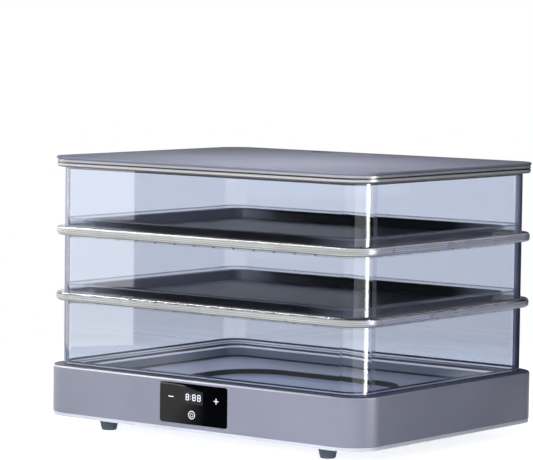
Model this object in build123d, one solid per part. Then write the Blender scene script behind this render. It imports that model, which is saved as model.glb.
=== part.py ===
from build123d import *
import os

os.makedirs("parts", exist_ok=True)

# Stacking dough proofer: a heated base, three clear wall rings, two clear frames that each
# carry a baking tray, and a lid. It stands on Z = 0, is centred on the Z axis, and its
# control panel faces -Y. All lengths are millimetres. An "offset" is the distance outward
# from the outside face of the clear walls, so a negative offset is inside the chamber.

# ---- Driving dimensions: clear walls ----
chamber_width = 440.0
chamber_depth = 334.0
chamber_corner = 24.0
wall_thickness = 2.4
wall_1_visible = 75.1
wall_2_visible = 66.0
wall_3_visible = 68.8

# ---- Driving dimensions: clear frames ----
frame_height = 10.7
frame_overhang = 9.4
frame_edge_radius = 4.0
channel_depth = 3.0
lip_thickness = 2.2
upper_lip_height = 9.0
lower_lip_height = 2.5
ledge_thickness = 2.5
ledge_width = 33.0
air_slot_pitch = 28.65
air_slot_length = 19.0
air_slot_width = 7.0
gusset_width = 7.0
gusset_thickness = 1.2

# ---- Driving dimensions: trays ----
tray_inset = 17.5
tray_corner = 20.0
tray_rim_width = 9.0
tray_curl = 2.2
tray_depth = 12.2
tray_draft = 3.0
tray_thickness = 1.0

# ---- Driving dimensions: lid ----
lid_overhang = 9.9
lid_plate_thickness = 2.7
lid_seam_height = 0.8
lid_seam_depth = 1.9
lid_rim_overhang = 9.05
lid_rim_height = 8.7
lid_rim_edge_radius = 2.4
lid_rim_groove_rise = 4.6
lid_rim_groove_height = 1.2
lid_rim_groove_depth = 1.2
lid_rim_flange_width = 10.0
lid_rim_flange_thickness = 3.0
lid_rib_height = 4.0
lid_rib_thickness = 1.6
lid_rib_spacing = 110.0
lid_recess_diameter = 30.0
lid_recess_depth = 1.0
lid_recess_x = -74.0
lid_recess_margin = 6.0
lid_screw_spacing = 120.0

# ---- Driving dimensions: base shell and liner ----
base_overhang = 12.2
base_shell_height = 55.4
shell_thickness = 2.5
shell_edge_radius = 2.5
channel_web = 1.6
base_lip_height = 4.0
liner_thickness = 2.0
liner_step_width = 10.1
liner_depth = 12.8
liner_corner = 20.0
well_length = 254.0
well_width = 154.0
well_corner = 62.0
well_depth = 7.0
water_tray_thickness = 0.9
water_tray_height = 6.6

# ---- Driving dimensions: bottom cover and feet ----
cover_edge_height = 4.0
cover_thickness = 2.5
cover_overhang = 11.6
cover_upstand = 3.0
vent_slot_length = 40.0
vent_slot_width = 3.0
vent_slot_pitch = 9.0
vent_slot_count = 7
vent_slot_row_x = 60.0
foot_height = 16.0
foot_top_diameter = 24.5
foot_bottom_diameter = 17.0
foot_inset_x = 60.0
foot_inset_y = 28.0
foot_bore_diameter = 9.0
foot_floor = 4.0
foot_boss_height = 9.0

# ---- Driving dimensions: heater ----
heater_margin = 7.0
heater_plate_thickness = 1.5
heater_tube_diameter = 5.0
heater_run_spacing = 22.0
insulation_thickness = 4.0
shield_sheet = 0.8
shield_flange = 12.0
cutout_diameter = 15.0
cutout_height = 5.0

# ---- Driving dimensions: control panel ----
panel_width = 98.0
panel_height = 45.6
panel_rise = 5.2
panel_corner = 3.0
glass_thickness = 2.0
pad_web = 2.0
display_width = 28.0
display_height = 15.0
display_rise = 7.8
display_recess = 1.5
display_pin_row = 18.0
display_pin_thickness = 0.8
display_pin_spacing = 10.0
key_offset = 32.8
key_rise = 6.4
power_key_drop = 12.7
spring_diameter = 7.0
standoff_height = 4.0
board_thickness = 1.6
control_board_width = 86.0
control_board_height = 38.0

# ---- Driving dimensions: power board and inlet ----
power_board_length = 112.0
power_board_width = 54.0
power_board_x = -14.0
power_board_y = 118.0
board_rise = 5.5
inlet_x = 96.0
inlet_rise = 18.0
inlet_width = 28.0
inlet_height = 21.0
inlet_depth = 20.0
inlet_flange_width = 50.0
inlet_flange_thickness = 2.0
inlet_wall = 2.0
inlet_screw_spacing = 40.0
sensor_diameter = 3.0
sensor_length = 24.0
sensor_x = 120.0
grommet_wall = 1.0
grommet_flange_width = 1.3
grommet_flange_thickness = 1.5

# ---- Driving dimensions: pieces on the power board ----
# Each block is (x, y, length, width, height), placed from the board's centre.
transformer_core = (4.0, 4.0, 34.0, 28.0, 22.0)
transformer_window = (4.0, 4.0, 34.0, 14.0, 16.0)
transformer_leg = (4.0, 4.0, 20.0, 14.0, 16.0)
transformer_window_rise = 3.0
relay_block = (-22.0, 8.0, 16.0, 19.0, 15.0)
capacitor_x = 29.0
capacitor_spacing = 16.0
capacitor_diameter = 9.0
capacitor_height = 16.0
fuse_x = -14.0
fuse_y = -14.0
fuse_length = 25.0
fuse_diameter = 5.0
fuse_rise = 4.0
fuse_clip_spacing = 20.0
fuse_clip_length = 3.0
fuse_clip_width = 6.0
heater_block = (-38.0, 0.0, 12.0, 30.0, 13.0)
mains_block = (46.0, 6.0, 10.0, 20.0, 13.0)
control_block = (-50.0, -10.0, 8.0, 12.0, 6.0)

# ---- Fasteners, wires and clearances ----
screw_shank = 2.6
screw_head = 5.4
screw_head_height = 1.8
post_diameter = 9.0
wire_diameter = 2.2
wire_bend = 10.0
tight_wire_bend = 6.0
wire_lane_gap = 12.0
wire_lane_pitch = 5.0
control_lane_gap = 14.0
heater_wire_rise = 8.0
heater_terminal_pitch = 12.0
mains_terminal_pitch = 8.0
fit_gap = 0.3
slip_gap = 0.5

# ---- Heights ----
shell_bottom = foot_height + cover_edge_height
base_top = shell_bottom + base_shell_height
land_bottom = base_top - channel_depth - channel_web
liner_floor = land_bottom - liner_depth
well_floor = liner_floor - well_depth
well_bottom = well_floor - liner_thickness
frame_1_bottom = base_top + wall_1_visible
frame_2_bottom = frame_1_bottom + frame_height + wall_2_visible
lid_rim_bottom = frame_2_bottom + frame_height + wall_3_visible
lid_rim_top = lid_rim_bottom + lid_rim_height
lid_plate_bottom = lid_rim_top + lid_seam_height
lid_top = lid_plate_bottom + lid_plate_thickness

# ---- Offsets from the outside of the walls ----
lip_outer = -wall_thickness - fit_gap
lip_inner = lip_outer - lip_thickness
ledge_inner = lip_inner - ledge_width
liner_outer = lip_inner - liner_step_width + liner_thickness
liner_inner = liner_outer - liner_thickness
shell_inner = base_overhang - shell_thickness
liner_flange_outer = base_overhang - glass_thickness - pad_web - fit_gap
front_y = -chamber_depth / 2 - base_overhang
back_y = -front_y


# ---- Shared shapes ----
def outline(offset, corner=None):
    """Rounded rectangle around the chamber, moved outward by an offset."""
    radius = max(chamber_corner + offset, 1.0) if corner is None else corner
    return RectangleRounded(chamber_width + 2 * offset, chamber_depth + 2 * offset, radius)


def prism(sketch, bottom, top):
    """A flat sketch made solid between two heights."""
    return Pos(0, 0, bottom) * extrude(sketch, top - bottom)


def slab(offset, bottom, top, corner=None):
    """A full rounded slab around the chamber's axis."""
    return prism(outline(offset, corner), bottom, top)


def ring(outer, inner, bottom, top):
    """A rounded ring between two offsets and two heights."""
    return slab(outer, bottom, top) - slab(inner, bottom, top)


def soft_slab(offset, bottom, top, top_radius, bottom_radius):
    """A slab whose outside edges are rounded above and below."""
    body = slab(offset, bottom, top)
    body = fillet(body.faces().sort_by(Axis.Z)[-1].edges(), top_radius)
    return fillet(body.faces().sort_by(Axis.Z)[0].edges(), bottom_radius)


def post(x, y, diameter, bottom, top):
    """A round post along Z."""
    return Pos(x, y, bottom) * extrude(Circle(diameter / 2), top - bottom)


def block(x_range, y_range, z_range):
    """A box given by its limits along each axis."""
    (x0, x1), (y0, y1), (z0, z1) = x_range, y_range, z_range
    centre = Pos((x0 + x1) / 2, (y0 + y1) / 2, (z0 + z1) / 2)
    return centre * Box(x1 - x0, y1 - y0, z1 - z0)


def front_plate(x, z, width, height, corner, near, far):
    """A rounded plate that faces -Y, between two Y values."""
    sketch = Pos(x, 0, z) * Rot(X=90) * RectangleRounded(width, height, corner)
    return Pos(0, far, 0) * extrude(sketch, far - near, dir=(0, -1, 0))


def front_rod(x, z, diameter, near, far):
    """A round rod along Y, between two Y values."""
    sketch = Pos(x, 0, z) * Rot(X=90) * Circle(diameter / 2)
    return Pos(0, far, 0) * extrude(sketch, far - near, dir=(0, -1, 0))


def screw_up(x, y, seat, tip):
    """A pan head screw driven upward: its head hangs below the seat."""
    head = post(x, y, screw_head, seat - screw_head_height, seat)
    slot = block((x - screw_head / 2, x + screw_head / 2), (y - 0.4, y + 0.4),
                 (seat - screw_head_height, seat - screw_head_height + 0.8))
    return head - slot + post(x, y, screw_shank, seat, tip)


def spread(span, pitch):
    """Centres along one axis at a fixed pitch, always with one in the middle."""
    count = int(span / 2 // pitch)
    return [step * pitch for step in range(-count, count + 1)]


def between(centres):
    """The points halfway between neighbouring centres."""
    return [(a + b) / 2 for a, b in zip(centres, centres[1:])]


def wire(points, bend=wire_bend):
    """A round wire along straight runs joined by arcs."""
    path = FilletPolyline(*points, radius=bend) if len(points) > 2 else Line(*points)
    return sweep(Plane(origin=points[0], z_dir=path % 0) * Circle(wire_diameter / 2), path=path)


# ---- Clear wall rings ----
def wall_ring(below, above):
    """One clear ring that stands in the channel below and enters the channel above."""
    return ring(0, -wall_thickness, below - channel_depth, above + channel_depth)


# ---- Clear frames ----
slot_centres_x = spread(chamber_width - 2 * chamber_corner - air_slot_length, air_slot_pitch)
slot_centres_y = spread(chamber_depth - 2 * chamber_corner - air_slot_length, air_slot_pitch)
slot_offset = (lip_inner - tray_inset) / 2


def air_slots(bottom, top):
    """Openings in the ledge that let warm air pass between the tray and the walls."""
    edge_x = chamber_width / 2 + slot_offset
    edge_y = chamber_depth / 2 + slot_offset
    slot_x = SlotOverall(air_slot_length, air_slot_width)
    slot_y = SlotOverall(air_slot_length, air_slot_width, rotation=90)
    sketch = Sketch() + [Pos(x, side * edge_y) * slot_x for x in slot_centres_x for side in (-1, 1)]
    sketch += [Pos(side * edge_x, y) * slot_y for y in slot_centres_y for side in (-1, 1)]
    return prism(sketch, bottom, top)


def gussets(lip_foot, ledge_bottom):
    """Small triangular webs between the lower lip and the underside of the ledge."""
    root = 0.4
    profile = Polygon((-root, lip_foot), (-root, ledge_bottom + root), (0, ledge_bottom + root),
                      (gusset_width, ledge_bottom + root), (gusset_width, ledge_bottom),
                      (0, lip_foot), align=None)
    web = extrude(Plane.XZ * profile, gusset_thickness / 2, both=True)
    edge_x = chamber_width / 2 + lip_inner
    edge_y = chamber_depth / 2 + lip_inner
    webs = []
    for x in between(slot_centres_x):
        webs += [Pos(x, -edge_y, 0) * Rot(Z=90) * web, Pos(x, edge_y, 0) * Rot(Z=-90) * web]
    for y in between(slot_centres_y):
        webs += [Pos(-edge_x, y, 0) * web, Pos(edge_x, y, 0) * Rot(Z=180) * web]
    return webs


def frame(bottom):
    """Clear frame between two tiers, with channels for the walls and a ledge for a tray."""
    top = bottom + frame_height
    ledge_bottom = bottom + channel_depth
    body = soft_slab(frame_overhang, bottom, top, frame_edge_radius, frame_edge_radius)
    body -= slab(lip_inner, bottom, top)
    body += ring(lip_outer, lip_inner, bottom - lower_lip_height, top + upper_lip_height)
    body += ring(lip_outer, ledge_inner, ledge_bottom, ledge_bottom + ledge_thickness)
    body -= ring(fit_gap, lip_outer, bottom - lower_lip_height, ledge_bottom)
    body -= ring(fit_gap, lip_outer, top - channel_depth, top + upper_lip_height)
    body -= air_slots(ledge_bottom, ledge_bottom + ledge_thickness)
    return body + gussets(bottom - lower_lip_height, ledge_bottom)


# ---- Trays ----
def tray(frame_bottom):
    """Shallow baking tray with a wide rim turned out and curled down at its edge."""
    bottom = frame_bottom + channel_depth + ledge_thickness
    top = bottom + tray_depth
    rim = -tray_inset
    body = rim - tray_rim_width
    foot = body - tray_draft
    body_corner = max(tray_corner - tray_rim_width, 2 * tray_thickness)

    def bowl(inset, floor):
        lower = Pos(0, 0, bottom + floor) * outline(foot - inset, body_corner - inset)
        upper = Pos(0, 0, top) * outline(body - inset, body_corner - inset)
        return loft([lower, upper], ruled=True)

    flat_rim = slab(rim, top - tray_thickness, top, tray_corner)
    curl = slab(rim, top - tray_curl, top, tray_corner)
    curl -= slab(rim - tray_thickness, top - tray_curl, top, tray_corner - tray_thickness)
    return bowl(0, 0) + flat_rim + curl - bowl(tray_thickness, tray_thickness)


# ---- Lid ----
def lid_screw_places():
    """Screw places on the lid rim's inner flange."""
    offset = lip_inner - lid_rim_flange_width / 2
    edge_x = chamber_width / 2 + offset
    edge_y = chamber_depth / 2 + offset
    along_x = spread(chamber_width - 2 * chamber_corner, lid_screw_spacing)
    along_y = between(spread(chamber_depth, lid_screw_spacing))
    places = [(x, side * edge_y) for x in along_x for side in (-1, 1)]
    return places + [(side * edge_x, y) for y in along_y for side in (-1, 1)]


def lid_rim():
    """Clear rim under the lid, with a groove round it and a channel for the top wall ring."""
    body = soft_slab(lid_rim_overhang, lid_rim_bottom, lid_rim_top, 0.6, lid_rim_edge_radius)
    body -= slab(lip_inner, lid_rim_bottom, lid_rim_top)
    body += ring(lip_outer, lip_inner, lid_rim_bottom - lower_lip_height, lid_rim_top)
    body += ring(lip_outer, lip_inner - lid_rim_flange_width,
                 lid_rim_top - lid_rim_flange_thickness, lid_rim_top)
    body -= ring(fit_gap, lip_outer, lid_rim_bottom - lower_lip_height,
                 lid_rim_bottom + channel_depth)
    groove_bottom = lid_rim_bottom + lid_rim_groove_rise
    body -= ring(lid_rim_overhang, lid_rim_overhang - lid_rim_groove_depth, groove_bottom,
                 groove_bottom + lid_rim_groove_height)
    for x, y in lid_screw_places():
        body -= post(x, y, screw_shank, lid_rim_top - lid_rim_flange_thickness, lid_rim_top)
    return body


def lid_plate():
    """Opaque lid with ribs underneath and a shallow round recess near the back edge."""
    body = soft_slab(lid_overhang, lid_plate_bottom, lid_top, lid_plate_thickness * 0.4,
                     lid_plate_thickness * 0.2)
    body += slab(lid_overhang - lid_seam_depth, lid_rim_top, lid_plate_bottom)
    inner = lip_inner - lid_rim_flange_width - slip_gap
    half_x = chamber_width / 2 + inner
    half_y = chamber_depth / 2 + inner
    half_rib = lid_rib_thickness / 2
    low = lid_rim_top - lid_rib_height
    for x in spread(2 * half_x - lid_rib_spacing, lid_rib_spacing):
        body += block((x - half_rib, x + half_rib), (-half_y, half_y), (low, lid_rim_top))
    for y in spread(2 * half_y - lid_rib_spacing, lid_rib_spacing):
        body += block((-half_x, half_x), (y - half_rib, y + half_rib), (low, lid_rim_top))
    recess_y = chamber_depth / 2 + lid_overhang - lid_recess_margin - lid_recess_diameter / 2
    body -= post(lid_recess_x, recess_y, lid_recess_diameter, lid_top - lid_recess_depth, lid_top)
    for x, y in lid_screw_places():
        body -= post(x, y, screw_shank, lid_rim_top, lid_top - lid_plate_thickness / 2)
    return body


def lid_screws():
    """Screws that hold the clear rim under the lid."""
    seat = lid_rim_top - lid_rim_flange_thickness
    tip = lid_top - lid_plate_thickness / 2
    return Compound(children=[screw_up(x, y, seat, tip) for x, y in lid_screw_places()])


# ---- Control panel ----
panel_z = shell_bottom + panel_rise + panel_height / 2
pocket_y = front_y + glass_thickness
pad_back_y = pocket_y + pad_web
board_front_y = pad_back_y + standoff_height
board_back_y = board_front_y + board_thickness
display_z = panel_z + display_rise
key_places = [(-key_offset, panel_z + key_rise), (key_offset, panel_z + key_rise),
              (0, panel_z - power_key_drop)]
display_pin_rows = [display_z + side * display_pin_spacing / 2 for side in (-1, 1)]
standoff_x = control_board_width / 2 - post_diameter / 2
standoff_z = control_board_height / 2 - post_diameter / 2
standoff_places = [(sx * standoff_x, panel_z + sz * standoff_z)
                   for sx in (-1, 1) for sz in (-1, 1)]


def panel_glass():
    """Black touch glass, flush with the front of the base."""
    return front_plate(0, panel_z, panel_width, panel_height, panel_corner, front_y, pocket_y)


def display_module():
    """Thin four-figure display in its recess, with two rows of pins to the control board."""
    body = front_plate(0, display_z, display_width, display_height, 1.0,
                       pocket_y + fit_gap, pocket_y + display_recess)
    for z in display_pin_rows:
        body += front_plate(0, z, display_pin_row, display_pin_thickness,
                            display_pin_thickness / 3, pocket_y + display_recess, board_front_y)
    return body


def control_board():
    """Upright circuit board behind the panel."""
    body = front_plate(0, panel_z, control_board_width, control_board_height, 1.0,
                       board_front_y, board_back_y)
    for x, z in standoff_places:
        body -= front_rod(x, z, screw_shank, board_front_y, board_back_y)
    return body


def touch_springs():
    """Spring contacts that press on the back of the glass at each touch key."""
    coils = []
    for x, z in key_places:
        tube = front_rod(x, z, spring_diameter, pocket_y, board_front_y)
        coils.append(tube - front_rod(x, z, spring_diameter - 2, pocket_y, board_front_y))
    return Compound(children=coils)


def control_board_screws():
    """Screws that hold the control board to its standoffs."""
    screws = []
    for x, z in standoff_places:
        shank = front_rod(x, z, screw_shank, pad_back_y + 1, board_back_y)
        head = front_rod(x, z, screw_head, board_back_y, board_back_y + screw_head_height)
        screws.append(shank + head)
    return Compound(children=screws)


# ---- Base shell and liner ----
post_offset = lip_inner
foot_x = chamber_width / 2 - foot_inset_x
foot_y = chamber_depth / 2 - foot_inset_y
post_x = foot_x - post_diameter
post_edge_y = chamber_depth / 2 + post_offset
post_edge_x = chamber_width / 2 + post_offset
post_places = [(sx * post_x, sy * post_edge_y) for sx in (-1, 1) for sy in (-1, 1)]
post_places += [(-post_edge_x, 0), (post_edge_x, 0)]

liner_screw_offset = (fit_gap + liner_flange_outer) / 2
liner_screw_edge_x = chamber_width / 2 + liner_screw_offset
liner_screw_edge_y = chamber_depth / 2 + liner_screw_offset
liner_screw_places = [(x, side * liner_screw_edge_y)
                      for x in (-chamber_width / 4, chamber_width / 4) for side in (-1, 1)]
liner_screw_places += [(side * liner_screw_edge_x, y)
                       for y in (-chamber_depth / 4, chamber_depth / 4) for side in (-1, 1)]
liner_screw_tip = base_top - channel_web

inlet_z = shell_bottom + inlet_rise


def base_shell():
    """Outer housing of the base, with the channel that the lowest wall ring stands in."""
    body = soft_slab(base_overhang, shell_bottom, base_top, shell_edge_radius, 1.0)
    body -= slab(shell_inner, shell_bottom, land_bottom)
    body -= slab(lip_inner, land_bottom, base_top)
    body += ring(lip_outer, lip_inner, land_bottom, base_top + base_lip_height)
    body -= ring(fit_gap, lip_outer, base_top - channel_depth, base_top)
    pad_width = panel_width + 2 * shell_thickness
    pad_bottom = shell_bottom + cover_upstand + fit_gap
    body += block((-pad_width / 2, pad_width / 2), (front_y + shell_thickness / 2, pad_back_y),
                  (pad_bottom, land_bottom))
    body -= front_plate(0, panel_z, panel_width + 2 * fit_gap, panel_height + 2 * fit_gap,
                        panel_corner + fit_gap, front_y, pocket_y)
    body -= front_plate(0, display_z, display_width + 2 * slip_gap,
                        display_height + 2 * slip_gap, 1.0 + slip_gap, pocket_y,
                        pocket_y + display_recess)
    for z in display_pin_rows:
        body -= front_plate(0, z, display_pin_row + 2 * fit_gap,
                            display_pin_thickness + 2 * fit_gap, fit_gap,
                            pocket_y + display_recess, pad_back_y)
    for x, z in key_places:
        body -= front_rod(x, z, spring_diameter + 2 * slip_gap, pocket_y, pad_back_y)
    for x, z in standoff_places:
        body += front_rod(x, z, post_diameter - 2, pad_back_y, board_front_y)
        body -= front_rod(x, z, screw_shank, pad_back_y + 1, board_front_y)
    for x, y in liner_screw_places:
        body -= post(x, y, screw_shank, land_bottom, liner_screw_tip)
    body -= front_plate(inlet_x, inlet_z, inlet_width + 2 * fit_gap, inlet_height + 2 * fit_gap,
                        3.0 + fit_gap, back_y - shell_thickness, back_y)
    for side in (-1, 1):
        x = inlet_x + side * inlet_screw_spacing / 2
        body -= front_rod(x, inlet_z, screw_shank, back_y - shell_thickness, back_y)
        body -= front_rod(x, inlet_z, screw_head + 2 * fit_gap, back_y - screw_head_height, back_y)
    return body


well = RectangleRounded(well_length, well_width, well_corner)
well_outside = RectangleRounded(well_length + 2 * liner_thickness,
                                well_width + 2 * liner_thickness, well_corner + liner_thickness)
shield_wall_length = well_length + 2 * liner_thickness + 2 * slip_gap + 2 * shield_sheet
shield_wall_width = well_width + 2 * liner_thickness + 2 * slip_gap + 2 * shield_sheet
shield_corner = well_corner + liner_thickness + slip_gap + shield_sheet
shield_screw_x = shield_wall_length / 2 + shield_flange / 2
shield_screw_y = shield_wall_width / 2 + shield_flange / 2
shield_places = [(-shield_screw_x, 0), (shield_screw_x, 0),
                 (-well_length / 4, -shield_screw_y), (well_length / 4, -shield_screw_y),
                 (-well_length / 4, shield_screw_y), (well_length / 4, shield_screw_y)]
sensor_z = (liner_floor + land_bottom - liner_thickness) / 2
liner_front_y = -chamber_depth / 2 - liner_outer
grommet_neck = sensor_diameter + 2 * grommet_wall
grommet_flange = grommet_neck + 2 * grommet_flange_width


def liner_rim():
    """Stepped rim and wall of the liner, with the posts that carry the bottom cover."""
    liner_flange_bottom = land_bottom - liner_thickness
    body = slab(liner_flange_outer, liner_flange_bottom, land_bottom)
    body += slab(liner_outer, liner_floor, land_bottom, liner_corner + liner_thickness)
    body -= slab(liner_inner, liner_floor, land_bottom, liner_corner)
    for x, y in post_places:
        body += post(x, y, post_diameter, shell_bottom, liner_flange_bottom)
        body -= post(x, y, screw_shank, shell_bottom, shell_bottom + 2 * post_diameter)
    for x, y in liner_screw_places:
        body -= post(x, y, screw_shank, liner_flange_bottom, land_bottom)
    return body - front_rod(sensor_x, sensor_z, grommet_neck, liner_front_y,
                            liner_front_y + liner_thickness)


def heated_floor():
    """Floor plate that the rim stands on, with an oval hole for the well."""
    floor_bottom = liner_floor - liner_thickness
    body = slab(liner_outer, floor_bottom, liner_floor, liner_corner + liner_thickness)
    body -= prism(well_outside, floor_bottom, liner_floor)
    for x, y in shield_places:
        body += post(x, y, post_diameter, shield_flange_top, floor_bottom)
        body -= post(x, y, screw_shank, shield_flange_top, floor_bottom - 1)
    return body


def well_pan():
    """Oval pan for the water tray, welded into the hole of the floor plate."""
    return prism(well_outside, well_bottom, liner_floor) - prism(well, well_floor, liner_floor)


heater_plate_bottom = well_bottom - heater_plate_thickness
tube_z = heater_plate_bottom - heater_tube_diameter / 2
insulation_top = heater_plate_bottom - heater_tube_diameter
insulation_bottom = insulation_top - insulation_thickness
shield_bottom = insulation_bottom - shield_sheet
shield_flange_top = well_bottom + 1.0


def liner_screws():
    """Screws that hold the liner's flange up against the base shell."""
    seat = land_bottom - liner_thickness
    return Compound(children=[screw_up(x, y, seat, liner_screw_tip)
                              for x, y in liner_screw_places])


def water_tray():
    """Loose oval tray that holds water in the well."""
    length = well_length - 2 * slip_gap
    width = well_width - 2 * slip_gap
    corner = well_corner - slip_gap
    trim = 2 * water_tray_thickness
    outside = RectangleRounded(length, width, corner)
    inside = RectangleRounded(length - trim, width - trim, corner - water_tray_thickness)
    body = prism(outside, well_floor, well_floor + water_tray_height)
    return body - prism(inside, well_floor + water_tray_thickness,
                        well_floor + water_tray_height)


# ---- Heater ----
heater_length = well_length - 2 * heater_margin
heater_width = well_width - 2 * heater_margin
heater_corner = well_corner - heater_margin
run_count = 2 * int((heater_width / 2 - heater_tube_diameter) // heater_run_spacing)
run_ys = [(index - (run_count - 1) / 2) * heater_run_spacing for index in range(run_count)]
run_end_x = heater_length / 2 - heater_corner * 0.6
lead_x = -heater_length / 2 - heater_margin / 2


def heater_plate():
    """Aluminium plate that spreads the heat under the well."""
    sheet = RectangleRounded(heater_length, heater_width, heater_corner)
    return prism(sheet, heater_plate_bottom, well_bottom)


def heater_element():
    """Sheathed heating tube, bent to and fro under the plate."""
    points = []
    for index, y in enumerate(run_ys):
        ends = [(-run_end_x, y, tube_z), (run_end_x, y, tube_z)]
        points += ends if index % 2 == 0 else ends[::-1]
    path = FilletPolyline(*points, radius=heater_run_spacing * 0.45)
    section = Plane(origin=points[0], z_dir=path % 0) * Circle(heater_tube_diameter / 2)
    return sweep(section, path=path)


def insulation():
    """Glass-fibre pad under the element."""
    trim = 2 * slip_gap + 2 * shield_sheet
    sheet = RectangleRounded(shield_wall_length - trim, shield_wall_width - trim,
                             shield_corner - trim / 2)
    return prism(sheet, insulation_bottom, insulation_top)


def heater_shield():
    """Sheet steel pan that closes the heater off from below."""
    outside = RectangleRounded(shield_wall_length, shield_wall_width, shield_corner)
    inside = RectangleRounded(shield_wall_length - 2 * shield_sheet,
                              shield_wall_width - 2 * shield_sheet, shield_corner - shield_sheet)
    flange = RectangleRounded(shield_wall_length + 2 * shield_flange,
                              shield_wall_width + 2 * shield_flange,
                              shield_corner + shield_flange)
    body = prism(outside, shield_bottom, shield_flange_top)
    body += prism(flange, shield_flange_top - shield_sheet, shield_flange_top)
    body -= prism(inside, insulation_bottom, shield_flange_top)
    for x, y in shield_places:
        body -= post(x, y, screw_shank, shield_flange_top - shield_sheet, shield_flange_top)
    for y in (run_ys[0], run_ys[-1]):
        hole = wire_diameter + 2 * fit_gap
        wall_x = -shield_wall_length / 2
        body -= block((wall_x - 1, lead_x), (y - hole / 2, y + hole / 2),
                      (tube_z - hole / 2, tube_z + hole / 2))
    return body


def shield_screws():
    """Screws that hold the shield to the floor plate's bosses."""
    seat = shield_flange_top - shield_sheet
    tip = liner_floor - liner_thickness - 1
    return Compound(children=[screw_up(x, y, seat, tip) for x, y in shield_places])


def thermal_cutout():
    """Round safety thermostat that touches the heater plate between two runs."""
    return post(0, 0, cutout_diameter, heater_plate_bottom - cutout_height, heater_plate_bottom)


# ---- Temperature sensor ----
def sensor_grommet():
    """Silicone grommet in the liner's front wall."""
    inner_y = liner_front_y + liner_thickness
    near = liner_front_y - grommet_flange_thickness
    far = inner_y + grommet_flange_thickness
    body = front_rod(sensor_x, sensor_z, grommet_neck, near, far)
    body += front_rod(sensor_x, sensor_z, grommet_flange, inner_y, far)
    body += front_rod(sensor_x, sensor_z, grommet_flange, near, liner_front_y)
    return body - front_rod(sensor_x, sensor_z, sensor_diameter, near, far)


def temperature_sensor():
    """Steel probe that reads the air in the chamber."""
    start = liner_front_y - sensor_length / 3
    body = front_rod(sensor_x, sensor_z, sensor_diameter, start, start + sensor_length)
    tip = body.faces().sort_by(Axis.Y)[-1]
    return fillet(tip.edges(), sensor_diameter * 0.4)


# ---- Bottom cover and feet ----
foot_places = [(sx * foot_x, sy * foot_y) for sx in (-1, 1) for sy in (-1, 1)]
cover_floor = foot_height + cover_thickness
board_bottom = cover_floor + board_rise
power_standoffs = [(power_board_x + sx * (power_board_length / 2 - 5),
                    power_board_y + sy * (power_board_width / 2 - 5))
                   for sx in (-1, 1) for sy in (-1, 1)]


def bottom_cover():
    """Pale cover that closes the base from below and carries the feet."""
    body = slab(cover_overhang, foot_height, shell_bottom)
    body -= slab(shell_inner - 2 * fit_gap - shell_thickness, cover_floor, shell_bottom)
    body += ring(shell_inner - fit_gap, shell_inner - fit_gap - shell_thickness,
                 shell_bottom, shell_bottom + cover_upstand)
    for x, y in post_places:
        body += post(x, y, post_diameter + 4, cover_floor, shell_bottom)
        body -= post(x, y, screw_shank, foot_height, shell_bottom)
        body -= post(x, y, screw_head + 2 * fit_gap, foot_height,
                     foot_height + screw_head_height + fit_gap)
    for x, y in foot_places:
        body += post(x, y, post_diameter + 4, cover_floor, foot_height + foot_boss_height)
        body -= post(x, y, screw_shank, foot_height, foot_height + foot_boss_height - 2)
    for x, y in power_standoffs:
        body += post(x, y, post_diameter - 2, cover_floor, board_bottom)
        body -= post(x, y, screw_shank, cover_floor + 1, board_bottom)
    slot = SlotOverall(vent_slot_length, vent_slot_width)
    middle = (vent_slot_count - 1) / 2
    vents = Sketch() + [Pos(side * vent_slot_row_x, (index - middle) * vent_slot_pitch) * slot
                        for index in range(vent_slot_count) for side in (-1, 1)]
    return body - prism(vents, foot_height, cover_floor)


def cover_screws():
    """Screws that hold the bottom cover to the liner's posts."""
    seat = foot_height + screw_head_height + fit_gap
    tip = shell_bottom + 2 * post_diameter - 4
    return Compound(children=[screw_up(x, y, seat, tip) for x, y in post_places])


def foot(x, y):
    """Tapered rubber foot with a bore for its screw."""
    body = Pos(x, y, 0) * Solid.make_cone(foot_bottom_diameter / 2, foot_top_diameter / 2,
                                          foot_height)
    body = fillet(body.faces().sort_by(Axis.Z)[0].edges(), 1.5)
    body -= post(x, y, foot_bore_diameter, 0, foot_height - foot_floor)
    return body - post(x, y, screw_shank, foot_height - foot_floor, foot_height)


def foot_screws():
    """Screws that hold the feet to the bottom cover."""
    seat = foot_height - foot_floor
    tip = foot_height + foot_boss_height - 3
    return Compound(children=[screw_up(x, y, seat, tip) for x, y in foot_places])


# ---- Power board ----
board_top = board_bottom + board_thickness


def on_board(x, y, length, width, height):
    """A box that stands on the power board, placed from the board's centre."""
    centre_x = power_board_x + x
    centre_y = power_board_y + y
    return block((centre_x - length / 2, centre_x + length / 2),
                 (centre_y - width / 2, centre_y + width / 2), (board_top, board_top + height))


def power_board():
    """Circuit board that switches the heater and feeds the panel."""
    sheet = Pos(power_board_x, power_board_y) * RectangleRounded(power_board_length,
                                                                 power_board_width, 2.0)
    body = prism(sheet, board_bottom, board_top)
    for x, y in power_standoffs:
        body -= post(x, y, screw_shank, board_bottom, board_top)
    return body


def power_board_screws():
    """Screws that hold the power board to the cover's standoffs."""
    screws = []
    for x, y in power_standoffs:
        head = post(x, y, screw_head, board_top, board_top + screw_head_height)
        screws.append(head + post(x, y, screw_shank, cover_floor + 1.5, board_top))
    return Compound(children=screws)


def transformer():
    """Small laminated transformer."""
    windows = on_board(*transformer_window) - on_board(*transformer_leg)
    return on_board(*transformer_core) - Pos(0, 0, transformer_window_rise) * windows


def relay():
    """Relay that switches the heater."""
    return on_board(*relay_block)


def capacitors():
    """Two upright capacitors."""
    x = power_board_x + capacitor_x
    return Compound(children=[post(x, power_board_y + side * capacitor_spacing / 2,
                                   capacitor_diameter, board_top, board_top + capacitor_height)
                              for side in (-1, 1)])


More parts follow.
